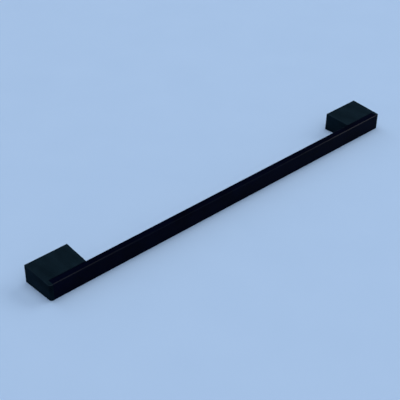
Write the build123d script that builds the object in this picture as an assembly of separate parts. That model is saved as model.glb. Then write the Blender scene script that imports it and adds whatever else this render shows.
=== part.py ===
from build123d import *
from math import radians, tan
import os

# Oven door handle: a flat hollow bar held off the door by two moulded brackets.
# Millimetres and degrees. X runs along the bar, Y = 0 is the door and the front is at -Y, Z is up.
# The origin is midway between the two door screws, on the door's face.

# Whole handle
LENGTH = 470.0  # over both brackets, at the door
FINGER_ROOM = 31.7  # from the door to the back of the bar
SCREW_INSET = 30.0  # from the handle's end to the door screw

# Bar, an extruded hollow section
BAR_HEIGHT = 19.0
BAR_DEPTH = 7.8
BAR_WALL = 1.6
BAR_EDGE_RADIUS = 0.8
BAR_HOLLOW_RADIUS = 0.5

# Bracket, a moulding that is open at the door
BRACKET_WIDTH = 48.9  # along the bar, at the door
END_WALL = 4.0  # closes the bar's end, measured at the front
SIDE_WALL = 2.6
SEAT_WALL = 3.0  # carries the back of the bar
DRAFT = 1.7  # on all four sides
FLUSH_STEP = 0.05  # bracket over bar, where the two meet
FRONT_CORNER_RADIUS = 2.5
MOULD_EDGE_RADIUS = 0.5
CORE_RADIUS = 1.2  # inside corners of the moulding
RIB = 1.6
RIB_SETBACK = 2.0  # from the door
BOSS_WALL = 2.2  # round the insert
TOWER_WALL = 1.6  # round the bar screw's head
PLUG_LENGTH = 14.0
PLUG_CLEARANCE = 0.15
PLUG_LEAD = 0.6  # chamfer at the plug's tip

# Threaded insert for the door screw, knurled in two bands
INSERT_DIAMETER = 7.0
INSERT_LENGTH = 10.0
INSERT_BORE = 4.2  # M5 before its thread
INSERT_BAND = 3.6
INSERT_GROOVE = 1.6  # between the bands
INSERT_GROOVE_DEPTH = 0.45
INSERT_PILOT_STEP = 0.3  # the leading end is this much smaller in radius
INSERT_CLEARANCE = 0.05
INSERT_MOUTH = 0.25  # chamfer of the bore
SCREW_RUN_OUT = 8.0  # room for the door screw's tip
RUN_OUT_DIAMETER = 5.4

# Self-tapping screw that holds the bar
BAR_SCREW_INSET = 6.5  # from the bar's end
BAR_SCREW_DIAMETER = 3.9
BAR_SCREW_CORE = 3.0
BAR_SCREW_HEAD = 6.8
BAR_SCREW_HEAD_HEIGHT = 2.4
BAR_SCREW_TIP = 0.6
BAR_SCREW_TIP_ROOM = 0.6  # to the front wall of the bar
CROSS_LENGTH = 3.8
CROSS_WIDTH = 1.0
CROSS_DEPTH = 1.4
HEAD_CLEARANCE = 0.6
SHANK_CLEARANCE = 0.2
CORE_CLEARANCE = 0.05

# Sizes that follow from those above
SLOPE = tan(radians(DRAFT))
DEPTH = FINGER_ROOM + BAR_DEPTH
BRACKET_HEIGHT = BAR_HEIGHT + 2 * (FLUSH_STEP + FINGER_ROOM * SLOPE)
BRACKET_X = (LENGTH - BRACKET_WIDTH) / 2
CORE_DEPTH = FINGER_ROOM - SEAT_WALL
DOOR_SCREW_X = LENGTH / 2 - SCREW_INSET
BAR_END_X = LENGTH / 2 - DEPTH * SLOPE - END_WALL
BAR_SCREW_X = BAR_END_X - BAR_SCREW_INSET
BAR_Y = -FINGER_ROOM - BAR_DEPTH / 2
HOLLOW_DEPTH = BAR_DEPTH - 2 * BAR_WALL
HOLLOW_HEIGHT = BAR_HEIGHT - 2 * BAR_WALL
BAR_SCREW_LENGTH = SEAT_WALL + BAR_DEPTH - BAR_WALL - BAR_SCREW_TIP_ROOM
PILOT_DIAMETER = BAR_SCREW_CORE + 2 * CORE_CLEARANCE


def on_door(x):
    """A place on the door's face. What is extruded from it runs towards the front."""
    return Plane.XZ * Pos(x, 0)


def towards_front(x, start, diameter, length):
    """A round bar along -Y whose rear end is at Y = -start."""
    return Pos(0, -start, 0) * extrude(on_door(x) * Circle(diameter / 2), length)


def handle_bar():
    """Hollow bar, drilled at each end for the screw through its back wall."""
    section = RectangleRounded(BAR_DEPTH, BAR_HEIGHT, BAR_EDGE_RADIUS)
    section -= RectangleRounded(HOLLOW_DEPTH, HOLLOW_HEIGHT, BAR_HOLLOW_RADIUS)
    bar = extrude(Plane.YZ * Pos(BAR_Y, 0) * section, BAR_END_X, both=True)
    for x in (-BAR_SCREW_X, BAR_SCREW_X):
        bar -= towards_front(x, FINGER_ROOM, PILOT_DIAMETER, BAR_WALL)
    return bar


def drafted(x, width, height, depth):
    """A block from the door towards the front that narrows on its four sides."""
    block = extrude(on_door(x) * Rectangle(width, height), depth)
    sides = block.faces().filter_by(Axis.Y, reverse=True)
    return draft(sides, Plane.XZ, DRAFT)


def bracket_block():
    """Outside of the right bracket: a drafted block with a rounded outer corner and softened edges."""
    block = drafted(BRACKET_X, BRACKET_WIDTH, BRACKET_HEIGHT, DEPTH)
    front_uprights = block.edges().filter_by(Axis.Z).sort_by(Axis.Y)[:2]
    block = fillet(front_uprights.sort_by(Axis.X)[-1], FRONT_CORNER_RADIUS)
    off_the_door = block.edges().filter_by(lambda edge: edge.center().Y < -MOULD_EDGE_RADIUS)
    return fillet(off_the_door, MOULD_EDGE_RADIUS)


def bracket_core():
    """Space inside the right bracket: a drafted pocket less the boss, the screw tower and the ribs."""
    pocket_width = BRACKET_WIDTH - 2 * SIDE_WALL
    pocket_height = BRACKET_HEIGHT - 2 * SIDE_WALL
    pocket = drafted(BRACKET_X, pocket_width, pocket_height, CORE_DEPTH)
    corners = pocket.edges().filter_by(lambda edge: -CORE_DEPTH < edge.center().Y < 0)
    pocket = fillet(corners, CORE_RADIUS)
    boss_diameter = INSERT_DIAMETER + 2 * BOSS_WALL
    tower_diameter = BAR_SCREW_HEAD + 2 * (HEAD_CLEARANCE + TOWER_WALL)
    rib_depth = CORE_DEPTH - RIB_SETBACK
    ribs = extrude(on_door(BRACKET_X) * Rectangle(pocket_width, RIB), rib_depth)
    for x in (DOOR_SCREW_X, BAR_SCREW_X):
        ribs += extrude(on_door(x) * Rectangle(RIB, pocket_height), rib_depth)
    core = pocket - Pos(0, -RIB_SETBACK, 0) * ribs
    core -= towards_front(DOOR_SCREW_X, 0, boss_diameter, CORE_DEPTH)
    return core - towards_front(BAR_SCREW_X, RIB_SETBACK, tower_diameter, rib_depth)


def bar_notch():
    """Space in the right bracket's front that takes the end of the bar, from its back to past its front."""
    size = (BRACKET_WIDTH, 2 * BAR_DEPTH, 2 * BRACKET_HEIGHT)
    corner = Pos(BAR_END_X, -FINGER_ROOM, 0)
    return corner * Box(*size, align=(Align.MAX, Align.MAX, Align.CENTER))


def bar_plug():
    """Plug on the right bracket's end wall that fills the end of the bar's hollow."""
    section = RectangleRounded(
        HOLLOW_DEPTH - 2 * PLUG_CLEARANCE,
        HOLLOW_HEIGHT - 2 * PLUG_CLEARANCE,
        BAR_HOLLOW_RADIUS + PLUG_LEAD,
    )
    plug = extrude(Plane.YZ * section, -PLUG_LENGTH)
    tip = plug.faces().sort_by(Axis.X)[0]
    return Pos(BAR_END_X, BAR_Y, 0) * chamfer(tip.edges(), PLUG_LEAD)


def right_bracket():
    """Moulded bracket: block, core, notch, plug and the holes for insert and screw."""
    bracket = bracket_block() - bracket_core() - bar_notch() + bar_plug()
    seat_diameter = INSERT_DIAMETER + 2 * INSERT_CLEARANCE
    bracket -= towards_front(DOOR_SCREW_X, 0, seat_diameter, INSERT_LENGTH)
    bracket -= towards_front(DOOR_SCREW_X, INSERT_LENGTH, RUN_OUT_DIAMETER, SCREW_RUN_OUT)
    head_diameter = BAR_SCREW_HEAD + 2 * HEAD_CLEARANCE
    bracket -= towards_front(BAR_SCREW_X, 0, head_diameter, CORE_DEPTH)
    shank_diameter = BAR_SCREW_DIAMETER + 2 * SHANK_CLEARANCE
    bracket -= towards_front(BAR_SCREW_X, CORE_DEPTH, shank_diameter, SEAT_WALL)
    bracket -= towards_front(BAR_SCREW_X, FINGER_ROOM, PILOT_DIAMETER, BAR_DEPTH - BAR_WALL)
    return bracket


def threaded_insert():
    """Brass bush with two bands, a groove between them and a smaller leading end. Its mouth is at Y = 0."""
    band_radius = INSERT_DIAMETER / 2
    groove_radius = band_radius - INSERT_GROOVE_DEPTH
    pilot_radius = band_radius - INSERT_PILOT_STEP
    bore_radius = INSERT_BORE / 2
    groove_start = -INSERT_BAND
    groove_end = groove_start - INSERT_GROOVE
    pilot_start = groove_end - INSERT_BAND
    profile = Polyline(
        (bore_radius + INSERT_MOUTH, 0),
        (band_radius, 0),
        (band_radius, groove_start),
        (groove_radius, groove_start),
        (groove_radius, groove_end),
        (band_radius, groove_end),
        (band_radius, pilot_start),
        (pilot_radius, pilot_start),
        (pilot_radius, -INSERT_LENGTH),
        (bore_radius, -INSERT_LENGTH),
        (bore_radius, -INSERT_MOUTH),
        close=True,
    )
    return revolve(make_face(profile), Axis.Y)


def bar_screw():
    """Pan-head screw with a cross recess. Its head sits on Y = 0 and its shank runs towards -Y."""
    head_radius = BAR_SCREW_HEAD / 2
    core_radius = BAR_SCREW_CORE / 2
    flat_radius = head_radius / 2
    rim = BAR_SCREW_HEAD_HEIGHT / 3
    crown = Line((0, BAR_SCREW_HEAD_HEIGHT), (flat_radius, BAR_SCREW_HEAD_HEIGHT))
    dome = TangentArc(crown @ 1, (head_radius, rim), tangent=(1, 0))
    shank = Polyline(
        dome @ 1,
        (head_radius, 0),
        (core_radius, 0),
        (core_radius, BAR_SCREW_TIP - BAR_SCREW_LENGTH),
        (core_radius - BAR_SCREW_TIP, -BAR_SCREW_LENGTH),
        (0, -BAR_SCREW_LENGTH),
        crown @ 0,
    )
    screw = revolve(make_face(crown + dome + shank), Axis.Y)
    slot = Box(CROSS_LENGTH, 2 * CROSS_DEPTH, CROSS_WIDTH)
    cross = slot + Rot(0, 90, 0) * slot
    return screw - Pos(0, BAR_SCREW_HEAD_HEIGHT, 0) * cross


def pair(piece, x, y):
    """The same piece at each end of the handle."""
    return Part() + [Pos(side * x, y, 0) * piece for side in (-1, 1)]


def main():
    """Builds every piece in its place and writes one file for each node."""
    bracket = right_bracket()
    nodes = {
        "handle_bar": handle_bar(),
        "left_bracket": mirror(bracket, about=Plane.YZ),
        "right_bracket": bracket,
        "threaded_inserts": pair(threaded_insert(), DOOR_SCREW_X, 0),
        "bar_screws": pair(bar_screw(), BAR_SCREW_X, -CORE_DEPTH),
    }
    os.makedirs("parts", exist_ok=True)
    for name, shape in nodes.items():
        export_step(shape, f"parts/{name}.step")


main()
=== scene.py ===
"""Looks of a black oven door handle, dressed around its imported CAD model.

Lengths are in metres and angles in degrees. The frame is the CAD model's: +X runs along the bar, the
door is at Y = 0, the front of the handle is towards -Y and +Z is up.
"""

import logging
import math
from abc import ABC, abstractmethod
from dataclasses import dataclass
from enum import Enum
from typing import Any, ClassVar, Iterable, Sequence, Union

import bmesh
import bpy
from bmesh.types import BMEdge, BMesh, BMVert
from mathutils import Matrix, Quaternion, Vector


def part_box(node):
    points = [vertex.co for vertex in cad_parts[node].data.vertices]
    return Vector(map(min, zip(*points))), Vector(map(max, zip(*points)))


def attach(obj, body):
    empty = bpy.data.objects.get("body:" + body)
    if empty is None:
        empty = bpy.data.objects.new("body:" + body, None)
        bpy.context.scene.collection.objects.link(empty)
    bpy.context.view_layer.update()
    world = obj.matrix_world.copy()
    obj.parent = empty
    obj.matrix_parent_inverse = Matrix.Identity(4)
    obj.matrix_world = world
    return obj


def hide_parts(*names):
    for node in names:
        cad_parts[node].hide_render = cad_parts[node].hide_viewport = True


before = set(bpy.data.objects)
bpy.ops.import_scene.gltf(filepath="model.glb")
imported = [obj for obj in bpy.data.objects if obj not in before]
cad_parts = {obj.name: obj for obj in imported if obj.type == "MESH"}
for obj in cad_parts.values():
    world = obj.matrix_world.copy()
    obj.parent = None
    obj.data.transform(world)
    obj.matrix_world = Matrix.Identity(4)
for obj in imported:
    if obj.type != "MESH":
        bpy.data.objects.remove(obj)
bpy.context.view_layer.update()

LOG = logging.getLogger("oven_door_handle")
MM = 0.001
BODY = "root"
DOUBLES = 0.001 * MM
FLAT_ANGLE = math.radians(0.2)
FULL_TURN = 2 * math.pi
QUARTER_TURN = FULL_TURN / 4
EIGHTH_TURN = FULL_TURN / 8
ROUND_PROFILE = 0.5
UNIT_SQUARE_HALF = 0.5
NOISE_LOW, NOISE_MEAN, NOISE_HIGH = 0.3, 0.5, 0.7
ORIGIN = Vector((0.0, 0.0, 0.0))
X_AXIS = Vector((1.0, 0.0, 0.0))
Y_AXIS = Vector((0.0, 1.0, 0.0))
Z_AXIS = Vector((0.0, 0.0, 1.0))

Colour = tuple[float, float, float]
Number = Union[float, "Signal"]


class Signal:
    """A number that varies over a surface. Arithmetic on it adds Math nodes."""

    def __init__(self, shader: "Shader", socket: bpy.types.NodeSocket) -> None:
        """Wraps an output socket.

        Args:
            shader: The node tree that the socket is in.
            socket: The output that carries the number.
        """
        self.shader = shader
        self.socket = socket

    def _math(self, operation: str, first: Number, second: Number) -> "Signal":
        """Adds one Math node.

        Args:
            operation: The node's operation.
            first: First operand.
            second: Second operand.

        Returns:
            The node's result.
        """
        node = self.shader.add("ShaderNodeMath", {"operation": operation}, {0: first, 1: second})
        return Signal(self.shader, node.outputs[0])

    def __add__(self, other: Number) -> "Signal":
        """Sum with a number on the right."""
        return self._math("ADD", self, other)

    def __radd__(self, other: Number) -> "Signal":
        """Sum with a number on the left."""
        return self._math("ADD", other, self)

    def __sub__(self, other: Number) -> "Signal":
        """Difference from a number on the right."""
        return self._math("SUBTRACT", self, other)

    def __rsub__(self, other: Number) -> "Signal":
        """Difference from a number on the left."""
        return self._math("SUBTRACT", other, self)

    def __mul__(self, other: Number) -> "Signal":
        """Product with a number on the right."""
        return self._math("MULTIPLY", self, other)

    def __rmul__(self, other: Number) -> "Signal":
        """Product with a number on the left."""
        return self._math("MULTIPLY", other, self)

    def __pow__(self, other: Number) -> "Signal":
        """Power with the exponent on the right."""
        return self._math("POWER", self, other)

    def __rpow__(self, other: Number) -> "Signal":
        """Power with the base on the left."""
        return self._math("POWER", other, self)

    def __abs__(self) -> "Signal":
        """Size without the sign."""
        return self._math("ABSOLUTE", self, 0.0)


class Shader:
    """Node tree of one material or of the world."""

    mix_factor: ClassVar[int] = 0
    mix_colours: ClassVar[tuple[int, int]] = (6, 7)
    mixed_colour: ClassVar[int] = 2
    ring_detail: ClassVar[float] = 1.0

    def __init__(self, owner: bpy.types.ID) -> None:
        """Empties the owner's node tree.

        Args:
            owner: The material or world that the nodes belong to.
        """
        owner.use_nodes = True
        self.tree = owner.node_tree
        self.tree.nodes.clear()

    def add(self, kind: str, settings: dict[str, Any], inputs: dict[Any, Any]) -> bpy.types.Node:
        """Adds a node.

        Args:
            kind: The node's type.
            settings: Properties of the node, set before its sockets. A ramp's stops go under "stops".
            inputs: Values or links of its sockets, by name or index.

        Returns:
            The new node.
        """
        node = self.tree.nodes.new(kind)
        for name, value in settings.items():
            if name == "stops":
                self._set_stops(node.color_ramp, value)
            else:
                setattr(node, name, value)
        for key, value in inputs.items():
            self._feed(node.inputs[key], value)
        return node

    def _set_stops(self, ramp: bpy.types.ColorRamp, stops: Sequence[tuple[float, Colour]]) -> None:
        """Gives a new ramp its stops.

        Args:
            ramp: A ramp with its two first stops.
            stops: Place and colour of each stop, from low to high.
        """
        while len(ramp.elements) < len(stops):
            ramp.elements.new(1.0)
        for element, (place, colour) in zip(ramp.elements, stops):
            element.position = place
            element.color = (*colour, 1.0)

    def _feed(self, socket: bpy.types.NodeSocket, value: Any) -> None:
        """Links a socket or sets its value.

        Args:
            socket: The input socket.
            value: A signal, an output socket, a number or a vector.
        """
        source = value.socket if isinstance(value, Signal) else value
        if isinstance(source, bpy.types.NodeSocket):
            self.tree.links.new(source, socket)
        else:
            socket.default_value = source

    def position(self) -> bpy.types.NodeSocket:
        """The surface point in the object's own coordinates."""
        return self.add("ShaderNodeTexCoord", {}, {}).outputs["Object"]

    def noise(self, pitch: float, detail: float = 3.0, stretch: Sequence[float] = (1.0, 1.0, 1.0)) -> Signal:
        """Noise through the piece, with a mean of about a half.

        Args:
            pitch: Size of its largest spots.
            detail: Octaves of finer spots.
            stretch: How many times longer the spots are along each axis.

        Returns:
            The noise, from 0 to 1.
        """
        scale = [1.0 / (pitch * times) for times in stretch]
        mapped = self.add("ShaderNodeMapping", {}, {"Vector": self.position(), "Scale": scale})
        return self.noise_at(mapped.outputs["Vector"], detail)

    def noise_at(self, place: bpy.types.NodeSocket, detail: float) -> Signal:
        """Noise of unit size.

        Args:
            place: Where it is read.
            detail: Octaves of finer spots.

        Returns:
            The noise, from 0 to 1.
        """
        inputs = {"Vector": place, "Scale": 1.0, "Detail": detail}
        return Signal(self, self.add("ShaderNodeTexNoise", {}, inputs).outputs[0])

    def attribute(self, name: str) -> Signal:
        """A number that the mesh carries."""
        node = self.add("ShaderNodeAttribute", {"attribute_name": name}, {})
        return Signal(self, node.outputs["Fac"])

    def turned(self, axis_x: float, pitch: float) -> Signal:
        """Fine rings left by a lathe, round the two axes that run along Y at plus and minus axis_x.

        Args:
            axis_x: Distance of each axis from the middle of the handle.
            pitch: Size of the rings.

        Returns:
            The rings, from 0 to 1.
        """
        parts = self.add("ShaderNodeSeparateXYZ", {}, {"Vector": self.position()}).outputs
        across = abs(Signal(self, parts["X"])) - axis_x
        up = Signal(self, parts["Z"])
        radius = (across * across + up * up) ** 0.5
        along = Signal(self, parts["Y"])
        place = self.add("ShaderNodeCombineXYZ", {}, {"X": radius * (1 / pitch), "Y": along * (1 / pitch)})
        return self.noise_at(place.outputs["Vector"], self.ring_detail)

    def ramp(self, value: Signal, stops: Sequence[tuple[float, Colour]]) -> bpy.types.NodeSocket:
        """A colour for each value.

        Args:
            value: Where on the ramp to read.
            stops: Place and colour of each stop.

        Returns:
            The colour's socket.
        """
        return self.add("ShaderNodeValToRGB", {"stops": stops}, {"Fac": value}).outputs["Color"]

    def level(self, value: Signal, stops: Sequence[tuple[float, float]]) -> Signal:
        """A number for each value.

        Args:
            value: Where on the ramp to read.
            stops: Place and number of each stop.

        Returns:
            The number between the stops.
        """
        greys = [(place, (number, number, number)) for place, number in stops]
        return Signal(self, self.ramp(value, greys))

    def mix(self, share: Signal, colours: Sequence[bpy.types.NodeSocket]) -> bpy.types.NodeSocket:
        """A colour between two others.

        Args:
            share: How much of the second one is in it.
            colours: The two colours.

        Returns:
            The mixed colour's socket.
        """
        inputs = {self.mix_factor: share, **dict(zip(self.mix_colours, colours))}
        return self.add("ShaderNodeMix", {"data_type": "RGBA"}, inputs).outputs[self.mixed_colour]

    def bump(self, height: Signal, depth: float) -> bpy.types.NodeSocket:
        """A surface normal that follows a height.

        Args:
            height: The relief, from 0 to 1.
            depth: What a height of 1 stands for.

        Returns:
            The normal's socket.
        """
        return self.add("ShaderNodeBump", {}, {"Height": height, "Distance": depth}).outputs["Normal"]

    def surface(self, inputs: dict[str, Any]) -> None:
        """Ends the tree of a material in a Principled shader.

        Args:
            inputs: Values or links of the shader's sockets.
        """
        principled = self.add("ShaderNodeBsdfPrincipled", {}, inputs)
        self.add("ShaderNodeOutputMaterial", {}, {"Surface": principled.outputs["BSDF"]})


class Finish(ABC):
    """A surface finish that makes one material."""

    name: ClassVar[str]

    def material(self) -> bpy.types.Material:
        """Makes a new material with this finish.

        Returns:
            The material.
        """
        material = bpy.data.materials.new(self.name)
        self.paint(Shader(material))
        return material

    @abstractmethod
    def paint(self, shader: Shader) -> None:
        """Adds the finish's nodes to an empty tree."""


@dataclass(frozen=True)
class BlackLacquer(Finish):
    """Black lacquer on drawn aluminium: faint lines along the bar, slight orange peel and rubbed edges."""

    name: ClassVar[str] = "black_lacquer"
    rubbed: ClassVar[str] = "rubbed_edge"
    # Both colours carry a painted navy tint that stands in for blue light reflected off the surroundings.
    deep: Colour = (0.0001, 0.0004, 0.0026)
    hazy: Colour = (0.0008, 0.0018, 0.0092)
    specular: float = 0.013
    roughness: float = 0.10
    roughness_spread: float = 0.08
    line_pitch: float = 0.35 * MM
    line_detail: float = 2.0
    line_stretch: float = 220.0
    line_tint: float = 0.4
    line_relief: float = 0.3
    peel_pitch: float = 1.1 * MM
    peel_detail: float = 1.0
    haze_pitch: float = 24.0 * MM
    relief: float = 0.012 * MM
    edge_gloss: float = 0.24
    edge_gloss_spread: float = 0.14
    edge_roughness: float = 0.05

    def paint(self, shader: Shader) -> None:
        """Adds drawn lines, orange peel and haze, and gloss where the mesh says the edges are rubbed.

        Args:
            shader: An empty tree.
        """
        lines = shader.noise(self.line_pitch, self.line_detail, stretch=(self.line_stretch, 1.0, 1.0))
        peel = shader.noise(self.peel_pitch, self.peel_detail)
        haze = shader.noise(self.haze_pitch)
        tint = haze * (1 - self.line_tint) + lines * self.line_tint
        gloss = self.edge_gloss + self.edge_gloss_spread * (haze - NOISE_MEAN)
        height = peel * (1 - self.line_relief) + lines * self.line_relief
        shader.surface({
            "Base Color": shader.ramp(tint, [(NOISE_LOW, self.deep), (NOISE_HIGH, self.hazy)]),
            "Roughness": self.roughness + self.roughness_spread * (tint - NOISE_MEAN),
            "Specular IOR Level": self.specular,
            "Coat Weight": shader.attribute(self.rubbed) * gloss,
            "Coat Roughness": self.edge_roughness,
            "Normal": shader.bump(height, self.relief),
        })


@dataclass(frozen=True)
class GrainedMoulding(Finish):
    """Black moulded plastic with a fine grain, worn edges, a polished front with painted shade on it, and a
    smooth inside.
    """

    name: ClassVar[str] = "grained_moulding"
    skin: ClassVar[str] = "mould_grain"
    worn: ClassVar[str] = "worn_edge"
    front: ClassVar[str] = "polished_front_painted_shade"
    # Both colours carry a painted blue tint that stands in for blue bounced light on a neutral black.
    dark: Colour = (0.0018, 0.0054, 0.0088)
    light: Colour = (0.0082, 0.0190, 0.0284)
    specular: float = 0.005
    roughness: float = 0.62
    roughness_spread: float = 0.22
    grain_pitch: float = 0.50 * MM
    grain_tint: float = 0.5
    flow_pitch: float = 14.0 * MM
    flow_detail: float = 2.0
    flow_stretch: float = 2.5
    flow_relief: float = 0.1
    wear_pitch: float = 5.0 * MM
    wear: float = 0.34
    relief: float = 0.10 * MM
    polish: float = 0.12
    # Painted shade taken off the colour of faces that face the front.
    front_painted_shade: float = 0.15
    edge_gloss: float = 0.44
    edge_roughness: float = 0.08

    def paint(self, shader: Shader) -> None:
        """Adds grain, wear, polish and painted shade on the front where the mesh says they are, and flow
        marks everywhere.

        Args:
            shader: An empty tree.
        """
        skin = shader.attribute(self.skin)
        worn = shader.attribute(self.worn)
        front = shader.attribute(self.front)
        wear = worn * shader.noise(self.wear_pitch) * self.wear
        grain = shader.noise(self.grain_pitch) * skin + (1 - skin) * NOISE_MEAN
        flow = shader.noise(self.flow_pitch, self.flow_detail, stretch=(1.0, self.flow_stretch, 1.0))
        # Painted shade: front-facing faces are darkened in step with how far they face -Y.
        shade = flow * (1 - self.grain_tint) + grain * self.grain_tint + wear - front * self.front_painted_shade
        smooth = self.polish * (1 - skin) + self.roughness_spread * (shade - NOISE_MEAN)
        shader.surface({
            "Base Color": shader.ramp(shade, [(NOISE_LOW, self.dark), (NOISE_HIGH, self.light)]),
            "Roughness": self.roughness - smooth,
            "Specular IOR Level": self.specular,
            "Coat Weight": front * worn * self.edge_gloss,
            "Coat Roughness": self.edge_roughness,
            "Normal": shader.bump(grain + flow * self.flow_relief, self.relief),
        })


@dataclass(frozen=True)
class TurnedMetal(Finish):
    """Metal with lathe rings and a slight tarnish, on two pieces that stand along Y."""

    axis_x: float
    bright: Colour
    dull: Colour
    roughness: float
    ring_pitch: float = 0.12 * MM
    ring_tint: float = 0.4
    tarnish_pitch: float = 2.5 * MM
    roughness_spread: float = 0.25
    relief: float = 0.006 * MM

    def paint(self, shader: Shader) -> None:
        """Adds the rings and the tarnish.

        Args:
            shader: An empty tree.
        """
        rings = shader.turned(self.axis_x, self.ring_pitch)
        tarnish = shader.noise(self.tarnish_pitch)
        wear = tarnish * (1 - self.ring_tint) + rings * self.ring_tint
        shader.surface({
            "Base Color": shader.ramp(tarnish, [(NOISE_LOW, self.bright), (NOISE_HIGH, self.dull)]),
            "Metallic": 1.0,
            "Roughness": self.roughness + self.roughness_spread * (wear - NOISE_MEAN),
            "Normal": shader.bump(rings, self.relief),
        })


@dataclass(frozen=True)
class BareBrass(TurnedMetal):
    """Free-cutting brass, not plated."""

    name: ClassVar[str] = "bare_brass"
    bright: Colour = (0.78, 0.52, 0.20)
    dull: Colour = (0.52, 0.32, 0.12)
    roughness: float = 0.28


@dataclass(frozen=True)
class ZincPlate(TurnedMetal):
    """Bright zinc on steel."""

    name: ClassVar[str] = "zinc_plate"
    bright: Colour = (0.62, 0.63, 0.62)
    dull: Colour = (0.42, 0.43, 0.42)
    roughness: float = 0.34


@dataclass(frozen=True)
class PaleFloor(Finish):
    """Plain pale board with a faint mottle."""

    name: ClassVar[str] = "pale_floor"
    low: Colour = (0.425, 0.575, 0.785)
    high: Colour = (0.435, 0.585, 0.795)
    roughness: float = 0.75
    specular: float = 0.2
    mottle_pitch: float = 60.0 * MM

    def paint(self, shader: Shader) -> None:
        """Adds the mottle.

        Args:
            shader: An empty tree.
        """
        mottle = shader.noise(self.mottle_pitch)
        shader.surface({
            "Base Color": shader.ramp(mottle, [(NOISE_LOW, self.low), (NOISE_HIGH, self.high)]),
            "Roughness": self.roughness,
            "Specular IOR Level": self.specular,
        })


def outline(bm: BMesh, points: Iterable[tuple[float, float]]) -> list[BMVert | BMEdge]:
    """Draws a closed outline in the XY plane.

    Args:
        bm: The mesh to draw in.
        points: Corners of the outline.

    Returns:
        Its vertices and edges.
    """
    verts = [bm.verts.new((x, y, 0.0)) for x, y in points]
    edges = [bm.edges.new((verts[i - 1], verts[i])) for i in range(len(verts))]
    return [*verts, *edges]


def helix(bm: BMesh, ridge: Sequence[tuple[float, float]], pitch: float, turns: float, steps: int) -> None:
    """Winds a thread round the Y axis, towards -Y.

    Args:
        bm: The mesh to add the thread to.
        ridge: Outline of the thread's ridge at its start, as radius and height.
        pitch: Advance in one turn.
        turns: Number of turns.
        steps: Faces round one turn.
    """
    count = round(turns * steps)
    advance = -Y_AXIS * (pitch / steps)
    start = outline(bm, ridge)
    bmesh.ops.spin(
        bm, geom=start, cent=ORIGIN, axis=Y_AXIS, dvec=advance, angle=FULL_TURN * turns, steps=count
    )
    open_ends = [edge for edge in bm.edges if edge.is_boundary]
    bmesh.ops.holes_fill(bm, edges=open_ends, sides=0)


def merged_copy(node: str) -> BMesh:
    """A CAD node's mesh with its triangles joined and its flat faces whole.

    Args:
        node: Name of the CAD node.

    Returns:
        The new mesh.
    """
    bm = bmesh.new()
    bm.from_mesh(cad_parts[node].data)
    bmesh.ops.remove_doubles(bm, verts=bm.verts, dist=DOUBLES)
    bmesh.ops.dissolve_limit(bm, angle_limit=FLAT_ANGLE, verts=bm.verts, edges=bm.edges)
    return bm


@dataclass
class SubAssembly(ABC):
    """A piece that stands for one CAD node."""

    node: str
    name: str
    slot: str
    crease: float = 32.0

    @abstractmethod
    def build(self) -> BMesh:
        """Models the piece in its place."""

    def dress(self, finish: Finish) -> bpy.types.Object:
        """Makes the finished object, hides the CAD node that it stands for and logs both.

        Args:
            finish: The finish that covers it.

        Returns:
            The object.
        """
        bm = self.build()
        for face in bm.faces:
            face.smooth = True
        for edge in bm.edges:
            edge.smooth = edge.calc_face_angle(0.0) < math.radians(self.crease)
        mesh = bpy.data.meshes.new(self.name)
        bm.to_mesh(mesh)
        bm.free()
        mesh.materials.append(finish.material())
        piece = bpy.data.objects.new(self.name, mesh)
        bpy.context.scene.collection.objects.link(piece)
        shading = piece.modifiers.new("even_shading", "WEIGHTED_NORMAL")
        shading.keep_sharp = True
        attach(piece, BODY)
        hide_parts(self.node)
        LOG.info("%s: %d faces, for %s", self.name, len(mesh.polygons), self.node)
        return piece


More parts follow.
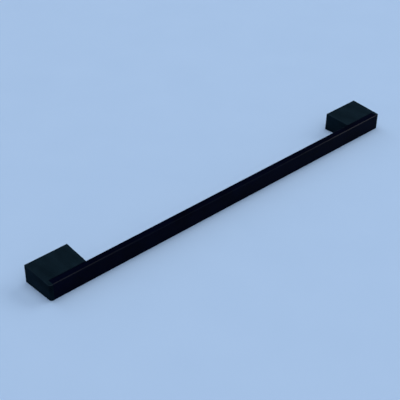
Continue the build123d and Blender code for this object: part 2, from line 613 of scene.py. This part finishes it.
@dataclass
class HandleBar(SubAssembly):
    """Hollow flat bar with rounded long edges and a drilled hole at each end of its back."""

    node: str = "handle_bar"
    name: str = "bar_section"
    slot: str = "black_bar"
    wall: float = 1.6 * MM
    edge_radius: float = 0.8 * MM
    hollow_radius: float = 0.5 * MM
    corner_steps: int = 6
    hole_radius: float = 1.55 * MM
    hole_inset: float = 6.5 * MM
    hole_steps: int = 32
    hole_patch: float = 2.6 * MM

    def build(self) -> BMesh:
        """Bridges the outer and inner outlines, extrudes the ring along the bar and drills it.

        Returns:
            The bar's mesh.
        """
        low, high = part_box(self.node)
        bm = bmesh.new()
        loops = self._section(bm, 0.0, self.edge_radius)
        loops += self._section(bm, self.wall, self.hollow_radius)
        ring = bmesh.ops.bridge_loops(bm, edges=loops)["faces"]
        grown = bmesh.ops.extrude_face_region(bm, geom=ring)["geom"]
        far_end = [item for item in grown if isinstance(item, BMVert)]
        bmesh.ops.translate(bm, verts=far_end, vec=X_AXIS * (high.x - low.x))
        for x in (low.x + self.hole_inset, high.x - self.hole_inset):
            self._drill(bm, Vector((x, high.y, (low.z + high.z) / 2)))
        bmesh.ops.remove_doubles(bm, verts=bm.verts, dist=DOUBLES)
        bmesh.ops.recalc_face_normals(bm, faces=bm.faces)
        self._mark_edges(bm)
        return bm

    def _mark_edges(self, bm: BMesh) -> None:
        """Marks the rounded long edges on the outside as rubbed.

        Args:
            bm: The bar's mesh.
        """
        low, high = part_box(self.node)
        rubbed = bm.verts.layers.float.new(BlackLacquer.rubbed)
        for vert in bm.verts:
            depth = min(vert.co.y - low.y, high.y - vert.co.y)
            height = min(vert.co.z - low.z, high.z - vert.co.z)
            vert[rubbed] = float(min(depth, height) > DOUBLES and max(depth, height) < self.edge_radius)

    def _section(self, bm: BMesh, inset: float, radius: float) -> list[BMEdge]:
        """Draws a rounded rectangle at the bar's left end.

        Args:
            bm: The bar's mesh.
            inset: Distance inside the bar's outline.
            radius: Radius of its corners.

        Returns:
            The edges of the outline.
        """
        low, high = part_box(self.node)
        size = high - low - Vector((0.0, 2 * inset, 2 * inset))
        middle = (low + high) / 2
        place = Matrix.Translation((low.x, middle.y, middle.z))
        upright = Matrix.Rotation(QUARTER_TURN, 4, "Y")
        stretch = Matrix.Diagonal((size.z, size.y, 1.0, 1.0))
        known = set(bm.edges)
        made = bmesh.ops.create_grid(
            bm, x_segments=1, y_segments=1, size=UNIT_SQUARE_HALF, matrix=place @ upright @ stretch
        )
        bmesh.ops.bevel(
            bm, geom=made["verts"], offset=radius, offset_type="OFFSET", segments=self.corner_steps,
            profile=ROUND_PROFILE, affect="VERTICES", material=-1,
        )
        bmesh.ops.delete(bm, geom=list(bm.faces), context="FACES_ONLY")
        return [edge for edge in bm.edges if edge not in known]

    def _drill(self, bm: BMesh, centre: Vector) -> None:
        """Makes a round hole through the back wall.

        Args:
            bm: The bar's mesh.
            centre: Middle of the hole on the outside.
        """
        for direction in (X_AXIS, Z_AXIS):
            for side in (-1, 1):
                bmesh.ops.bisect_plane(
                    bm, geom=[*bm.verts, *bm.edges, *bm.faces], dist=DOUBLES,
                    plane_co=centre + direction * (side * self.hole_patch), plane_no=direction,
                )
        rims = self._open_skin(bm, centre) + self._open_skin(bm, centre - Y_AXIS * self.wall)
        bmesh.ops.bridge_loops(bm, edges=rims)

    def _open_skin(self, bm: BMesh, centre: Vector) -> list[BMEdge]:
        """Turns the square round a hole into a ring, on one skin of the wall.

        Args:
            bm: The bar's mesh.
            centre: Middle of the hole on that skin.

        Returns:
            The edges of the hole's rim.
        """
        square = min(bm.faces, key=lambda face: (face.calc_center_median() - centre).length)
        sides = list(square.edges)
        bmesh.ops.delete(bm, geom=[square], context="FACES_ONLY")
        turn = Matrix.Rotation(QUARTER_TURN, 4, "X") @ Matrix.Rotation(EIGHTH_TURN, 4, "Z")
        circle = bmesh.ops.create_circle(
            bm, segments=self.hole_steps, radius=self.hole_radius, matrix=Matrix.Translation(centre) @ turn
        )
        rim = list({edge for vert in circle["verts"] for edge in vert.link_edges})
        bmesh.ops.triangle_fill(bm, edges=sides + rim, use_beauty=True)
        return rim


class Side(Enum):
    """Which end of the handle a bracket is on."""

    LEFT = "left"
    RIGHT = "right"


class EndBracket(SubAssembly):
    """Drafted moulding that holds one end of the bar off the door."""

    skin_depth: ClassVar[float] = 1.9 * MM
    edge_tilt: ClassVar[float] = math.radians(8.0)

    def __init__(self, side: Side) -> None:
        """Names the bracket for its end of the handle."""
        super().__init__(f"{side.value}_bracket", f"{side.value}_moulding", "black_moulding")

    def build(self) -> BMesh:
        """Joins the CAD mesh and marks the grained faces, the worn rounds and the polished front, which also
        carries painted shade.

        Returns:
            The bracket's mesh.
        """
        bm = merged_copy(self.node)
        low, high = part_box(self.node)
        grained = bm.faces.layers.float.new(GrainedMoulding.skin)
        worn = bm.faces.layers.float.new(GrainedMoulding.worn)
        front = bm.faces.layers.float.new(GrainedMoulding.front)
        for face in bm.faces:
            centre = face.calc_center_median()
            depth = min(*(centre - low), high.x - centre.x, high.z - centre.z)
            lean = abs(face.normal.z)
            outside = float(depth < self.skin_depth)
            # The front share marks polish, gloss and painted shade on faces that face -Y.
            face[front] = outside * max(0.0, -face.normal.y)
            face[grained] = outside - face[front]
            face[worn] = outside * float(math.sin(self.edge_tilt) < lean < math.cos(self.edge_tilt))
        return bm


@dataclass
class TurnedPair(SubAssembly):
    """Two turned pieces that stand along Y, one at each end of the handle."""

    def axis_x(self) -> float:
        """Distance of each piece's axis from the middle of the handle."""
        low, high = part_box(self.node)
        return high.x - (high.z - low.z) / 2


@dataclass
class ThreadedInserts(TurnedPair):
    """Two brass bushes, each with two knurled bands and an inner thread."""

    node: str = "threaded_inserts"
    name: str = "knurled_inserts"
    slot: str = "brass"
    band: float = 3.6 * MM
    groove: float = 1.6 * MM
    groove_depth: float = 0.45 * MM
    pilot_step: float = 0.3 * MM
    bore_radius: float = 2.1 * MM
    mouth: float = 0.25 * MM
    thread_depth: float = 0.4 * MM
    thread_pitch: float = 0.8 * MM
    thread_foot: float = 0.336 * MM
    thread_crest: float = 0.064 * MM
    thread_bite: float = 0.04 * MM
    thread_steps: int = 24
    teeth: int = 36
    tooth_depth: float = 0.2 * MM
    band_chamfer: float = 0.15 * MM

    def build(self) -> BMesh:
        """Spins a bush, knurls its bands, winds its thread and copies it to the other end.

        Returns:
            The mesh of both bushes.
        """
        low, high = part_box(self.node)
        radius = (high.z - low.z) / 2
        length = high.y - low.y
        bm = bmesh.new()
        profile = outline(bm, self._profile(radius, length))
        bmesh.ops.spin(
            bm, geom=profile, cent=ORIGIN, axis=Y_AXIS, angle=FULL_TURN, steps=2 * self.teeth, use_merge=True
        )
        bmesh.ops.remove_doubles(bm, verts=bm.verts, dist=DOUBLES)
        self._knurl(bm, radius)
        self._wind_thread(bm, length)
        bmesh.ops.recalc_face_normals(bm, faces=bm.faces)
        bmesh.ops.translate(bm, verts=bm.verts, vec=(self.axis_x(), high.y, 0.0))
        twin = bmesh.ops.duplicate(bm, geom=[*bm.verts, *bm.edges, *bm.faces])["geom"]
        twin_verts = [item for item in twin if isinstance(item, BMVert)]
        bmesh.ops.translate(bm, verts=twin_verts, vec=X_AXIS * (-2 * self.axis_x()))
        return bm

    def _profile(self, radius: float, length: float) -> list[tuple[float, float]]:
        """Half section of the bush.

        Args:
            radius: Radius over the bands.
            length: Length of the bush.

        Returns:
            Radius and height of each corner.
        """
        bore = self.bore_radius + self.thread_depth
        corners = [(bore, -self.mouth), (bore + self.mouth, 0.0)]
        second = -self.band - self.groove
        for start, neck, neck_end in (
            (0.0, radius - self.groove_depth, second),
            (second, radius - self.pilot_step, -length),
        ):
            end = start - self.band
            corners += [
                (radius - self.band_chamfer, start),
                (radius, start - self.band_chamfer),
                (radius, end + self.band_chamfer),
                (radius - self.band_chamfer, end),
                (neck, end),
                (neck, neck_end),
            ]
        return [*corners, (bore, -length)]

    def _knurl(self, bm: BMesh, radius: float) -> None:
        """Sinks every second row of the bands' vertices.

        Args:
            bm: The bush.
            radius: Radius over the bands.
        """
        step = FULL_TURN / (2 * self.teeth)
        valleys = [
            vert for vert in bm.verts
            if math.hypot(vert.co.x, vert.co.z) > radius - DOUBLES
            and round(math.atan2(vert.co.z, vert.co.x) / step) % 2
        ]
        sunk = 1 - self.tooth_depth / radius
        bmesh.ops.scale(bm, vec=(sunk, 1.0, sunk), verts=valleys)

    def _wind_thread(self, bm: BMesh, length: float) -> None:
        """Adds the ridge of the inner thread.

        Args:
            bm: The bush.
            length: Length of the bush.
        """
        root = self.bore_radius + self.thread_depth + self.thread_bite
        start = -self.mouth - self.thread_foot
        ridge = [
            (root, start + self.thread_foot),
            (self.bore_radius, start + self.thread_crest),
            (self.bore_radius, start - self.thread_crest),
            (root, start - self.thread_foot),
        ]
        turns = (length - self.mouth - 2 * self.thread_foot) / self.thread_pitch
        helix(bm, ridge, self.thread_pitch, turns, self.thread_steps)


@dataclass
class BarScrews(TurnedPair):
    """Two pan-head self-tapping screws that hold the bar."""

    node: str = "bar_screws"
    name: str = "tapping_screws"
    slot: str = "zinc_steel"
    head_height: float = 2.4 * MM
    core_radius: float = 1.5 * MM
    crest_radius: float = 1.95 * MM
    thread_pitch: float = 1.3 * MM
    thread_start: float = 0.9 * MM
    thread_end: float = 0.9 * MM
    thread_foot: float = 0.29 * MM
    thread_bite: float = 0.045 * MM
    thread_steps: int = 24

    def build(self) -> BMesh:
        """Winds a thread on the shanks of the CAD screws.

        Returns:
            The mesh of both screws.
        """
        low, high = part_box(self.node)
        seat = high.y - self.head_height
        run = seat - low.y - self.thread_start - self.thread_end
        root = self.core_radius - self.thread_bite
        ridge = [(root, self.thread_foot), (self.crest_radius, 0.0), (root, -self.thread_foot)]
        bm = merged_copy(self.node)
        for side in (-1, 1):
            known = set(bm.verts)
            helix(bm, ridge, self.thread_pitch, run / self.thread_pitch, self.thread_steps)
            thread = [vert for vert in bm.verts if vert not in known]
            place = (side * self.axis_x(), seat - self.thread_start, 0.0)
            bmesh.ops.translate(bm, verts=thread, vec=place)
            faces = list({face for vert in thread for face in vert.link_faces})
            bmesh.ops.recalc_face_normals(bm, faces=faces)
        return bm


@dataclass(frozen=True)
class SoftBox:
    """A flat lamp with its long sides square to the handle, shining at it."""

    name: str
    place: tuple[float, float, float]
    length: float
    width: float
    watts: float

    def hang(self) -> None:
        """Adds the lamp to the scene."""
        lamp = bpy.data.lights.new(self.name, "AREA")
        lamp.shape = "RECTANGLE"
        lamp.size = self.length
        lamp.size_y = self.width
        lamp.energy = self.watts
        back = Vector(self.place).normalized()
        along = X_AXIS.cross(back).normalized()
        turn = Matrix((along, back.cross(along), back)).transposed()
        holder = bpy.data.objects.new(self.name, lamp)
        holder.location = Vector(self.place)
        holder.rotation_euler = turn.to_euler()
        bpy.context.scene.collection.objects.link(holder)


@dataclass
class Studio:
    """Floor, lamps and surroundings. Stops across and back run from 0 at -1 to 1 at +1."""

    floor_half: float = 6.0
    floor_cells: int = 8
    floor_drop: float = 0.02 * MM
    lamps: tuple[SoftBox, ...] = (
        SoftBox("overhead_box", place=(1.55, 0.0, 3.6), length=4.2, width=0.5, watts=3.9),
        SoftBox("right_box", place=(12.24, -2.5, 8.25), length=13.5, width=6.6, watts=760.0),
    )
    glow: float = 2.65
    horizon: Colour = (0.145, 0.203, 0.292)
    dim: Colour = (0.048, 0.060, 0.076)
    pale: Colour = (0.56, 0.60, 0.655)
    overhead: Colour = (0.70, 0.72, 0.75)
    sky_heights: tuple[float, ...] = (0.08, 0.40, 0.86, 0.90)
    strip_across: tuple[tuple[float, float], ...] = ((0.30, 0.0), (0.42, 1.0), (0.55, 1.0), (0.64, 0.0))
    strip_back: tuple[tuple[float, float], ...] = ((0.35, 0.45), (0.55, 1.0))

    def build(self) -> None:
        """Adds everything round the handle."""
        self._floor()
        self._surroundings()
        for lamp in self.lamps:
            lamp.hang()

    def _floor(self) -> None:
        """Lays the floor under the brackets' rear edges and the bar's lower front edge."""
        bar_low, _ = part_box("handle_bar")
        bracket_low, bracket_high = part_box(f"{Side.LEFT.value}_bracket")
        run = bracket_high.y - bar_low.y - HandleBar.edge_radius
        tilt = Matrix.Rotation(-math.atan2(bar_low.z - bracket_low.z, run), 4, "X")
        place = Matrix.Translation((0.0, bracket_high.y, bracket_low.z - self.floor_drop))
        bm = bmesh.new()
        bmesh.ops.create_grid(
            bm, x_segments=self.floor_cells, y_segments=self.floor_cells, size=self.floor_half,
            matrix=place @ tilt,
        )
        mesh = bpy.data.meshes.new("floor")
        bm.to_mesh(mesh)
        bm.free()
        mesh.materials.append(PaleFloor().material())
        floor = bpy.data.objects.new("floor", mesh)
        bpy.context.scene.collection.objects.link(floor)

    def _surroundings(self) -> None:
        """Paints a dim sky that is bright overhead, with a pale strip across it from behind to the front."""
        world = bpy.data.worlds.new("studio")
        bpy.context.scene.world = world
        shader = Shader(world)
        direction = shader.add("ShaderNodeTexCoord", {}, {}).outputs["Generated"]
        parts = shader.add("ShaderNodeSeparateXYZ", {}, {"Vector": direction}).outputs
        across, back = ((Signal(shader, parts[axis]) + 1) * 0.5 for axis in "XY")
        height = Signal(shader, parts["Z"])
        strip = shader.level(across, self.strip_across) * shader.level(back, self.strip_back)
        skies = [
            shader.ramp(height, list(zip(self.sky_heights, (self.horizon, middle, middle, self.overhead))))
            for middle in (self.dim, self.pale)
        ]
        inputs = {"Color": shader.mix(strip, skies), "Strength": self.glow}
        background = shader.add("ShaderNodeBackground", {}, inputs)
        shader.add("ShaderNodeOutputWorld", {}, {"Surface": background.outputs["Background"]})


@dataclass
class PhotoCamera:
    """Camera at the photograph's viewing angle."""

    aim: tuple[float, float, float] = (-32.1 * MM, -20.0 * MM, 0.0)
    distance: float = 988.07 * MM
    azimuth: float = -42.48
    elevation: float = 35.871
    roll: float = 0.873
    lens: float = 85.19

    def build(self) -> None:
        """Adds the camera and makes it the scene's own."""
        around, above = math.radians(self.azimuth), math.radians(self.elevation)
        flat = math.cos(above)
        back = Vector((math.sin(around) * flat, -math.cos(around) * flat, math.sin(above)))
        lens = bpy.data.cameras.new("photo_camera")
        lens.lens = self.lens
        camera = bpy.data.objects.new("photo_camera", lens)
        camera.rotation_mode = "QUATERNION"
        camera.location = Vector(self.aim) + back * self.distance
        level = (-back).to_track_quat("-Z", "Y")
        camera.rotation_quaternion = level @ Quaternion(Z_AXIS, math.radians(self.roll))
        bpy.context.scene.collection.objects.link(camera)
        bpy.context.scene.camera = camera


def main() -> None:
    """Builds and dresses the handle's pieces, then the studio and the camera."""
    logging.basicConfig(level=logging.INFO, format="%(message)s")
    bpy.context.scene.view_settings.view_transform = "Standard"
    HandleBar().dress(BlackLacquer())
    for side in Side:
        EndBracket(side).dress(GrainedMoulding())
    inserts, screws = ThreadedInserts(), BarScrews()
    inserts.dress(BareBrass(inserts.axis_x()))
    screws.dress(ZincPlate(screws.axis_x()))
    Studio().build()
    PhotoCamera().build()


if __name__ == "__main__":
    main()
